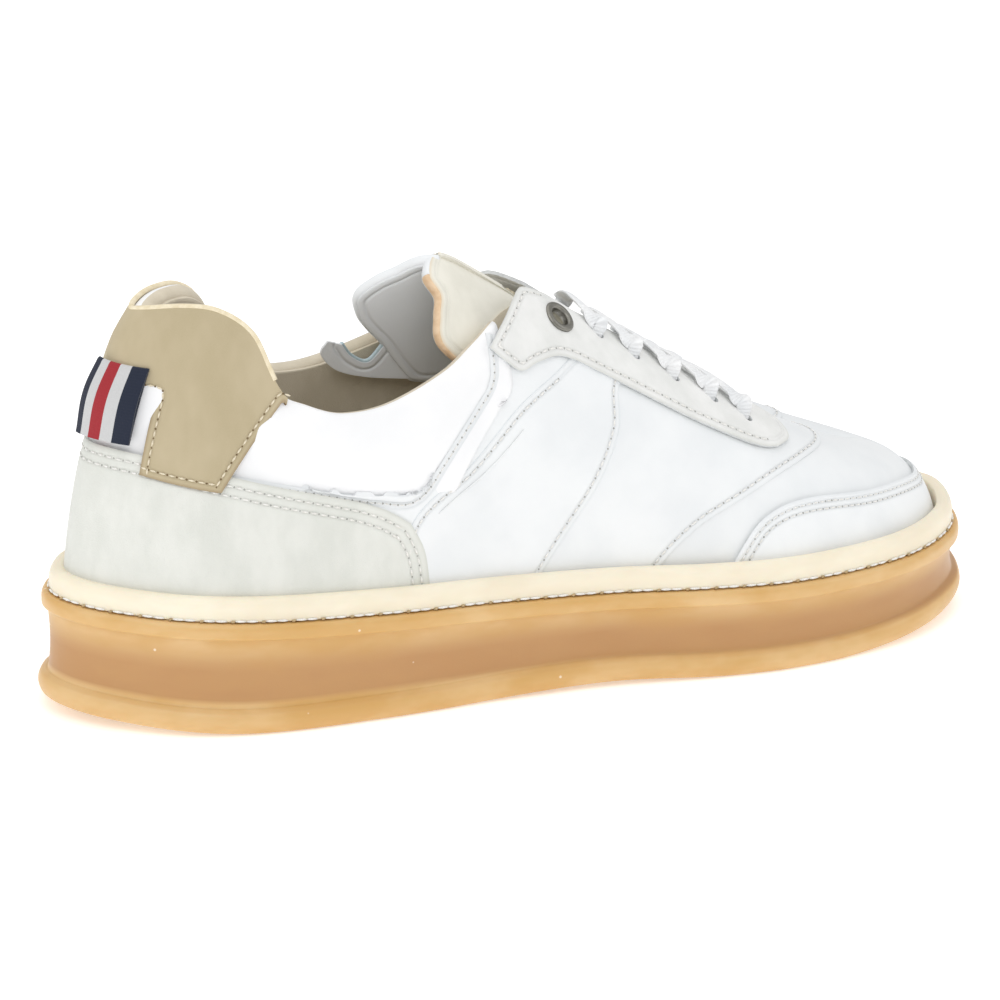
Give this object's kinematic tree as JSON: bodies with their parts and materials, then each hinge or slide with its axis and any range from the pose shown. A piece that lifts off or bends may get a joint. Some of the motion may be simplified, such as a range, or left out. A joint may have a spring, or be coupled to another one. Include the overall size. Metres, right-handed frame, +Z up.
{
  "type": "court shoe",
  "caption": "Low lace-up leather court shoe for the right foot with cup sole, padded collar, heel tab, ribbon pull loop, tongue and laced eyestays.",
  "frame": {"origin": "under the middle of the shoe, on the ground plane it rests on", "axes": "+X to the toe, +Y to the inner (medial) side, +Z up"},
  "size_m": [0.3, 0.1022, 0.1287],
  "materials": {
    "gum_rubber": "satin translucent gum rubber",
    "cream_rubber": "matt cream rubber foxing",
    "eva_foam": "soft foam, inside",
    "shank_fibre": "glass-fibre plate, inside",
    "board": "stiffened fibre sheet, inside",
    "lining_suede": "beige microsuede lining",
    "greige_suede": "off-white suede, short nap",
    "tan_nubuck": "smooth beige nubuck",
    "ribbon": "striped ribbed ribbon: navy, white, red, white, navy",
    "white_leather": "white leather, fine tumbled grain",
    "smooth_leather": "smooth white leather, padded",
    "white_suede": "off-white suede eyestay",
    "cream_leather": "cream leather tongue face",
    "grey_leather": "pale grey leather",
    "lace_cotton": "flat woven white lace",
    "dark_metal": "dark nickel eyelet"
  },
  "bodies": {
    "shoe": {"collar_foam_lateral": "eva_foam", "collar_foam_medial": "eva_foam", "collar_panel_lateral": "smooth_leather", "collar_panel_medial": "smooth_leather", "counter_stiffener": "board", "cushion_insert": "eva_foam", "eyelet_lateral": "dark_metal", "eyelet_medial": "dark_metal", "eyestay_backing_lateral": "board", "eyestay_backing_medial": "board", "eyestay_lateral": "white_suede", "eyestay_medial": "white_suede", "foxing_strip": "cream_rubber", "heel_counter": "greige_suede", "heel_tab": "tan_nubuck", "lace_bar_1": "lace_cotton", "lace_bar_2": "lace_cotton", "lace_bar_3": "lace_cotton", "lace_bar_4": "lace_cotton", "lace_bar_5": "lace_cotton", "lace_run_1": "lace_cotton", "lace_run_2": "lace_cotton", "lace_run_3": "lace_cotton", "lace_run_4": "lace_cotton", "lining_seam_tape_lateral": "grey_leather", "lining_seam_tape_medial": "grey_leather", "outsole": "gum_rubber", "quarter_lateral": "white_leather", "quarter_lining_lateral": "lining_suede", "quarter_lining_medial": "lining_suede", "quarter_medial": "white_leather", "rear_quarter_lateral": "white_leather", "rear_quarter_medial": "white_leather", "shank": "shank_fibre", "sockliner": "lining_suede", "strobel_board": "board", "toe_overlay": "white_leather", "toe_puff": "board", "vamp": "white_leather", "vamp_lining": "lining_suede"},
    "tongue": {"tongue_cover": "cream_leather", "tongue_foam": "eva_foam", "tongue_lining": "grey_leather"},
    "loop": {"pull_loop": "ribbon"}
  },
  "joints": [
    {"name": "tongue_tilt", "type": "hinge", "parent": "shoe", "child": "tongue", "pos_m": [0.08, 0.00489, 0.052], "axis": [0, 1, 0], "range_deg": [-8, 0]},
    {"name": "loop_swing", "type": "hinge", "parent": "shoe", "child": "loop", "pos_m": [-0.1365, 0.00139, 0.08], "axis": [0, 1, 0], "range_deg": [-75, 0]}
  ]
}
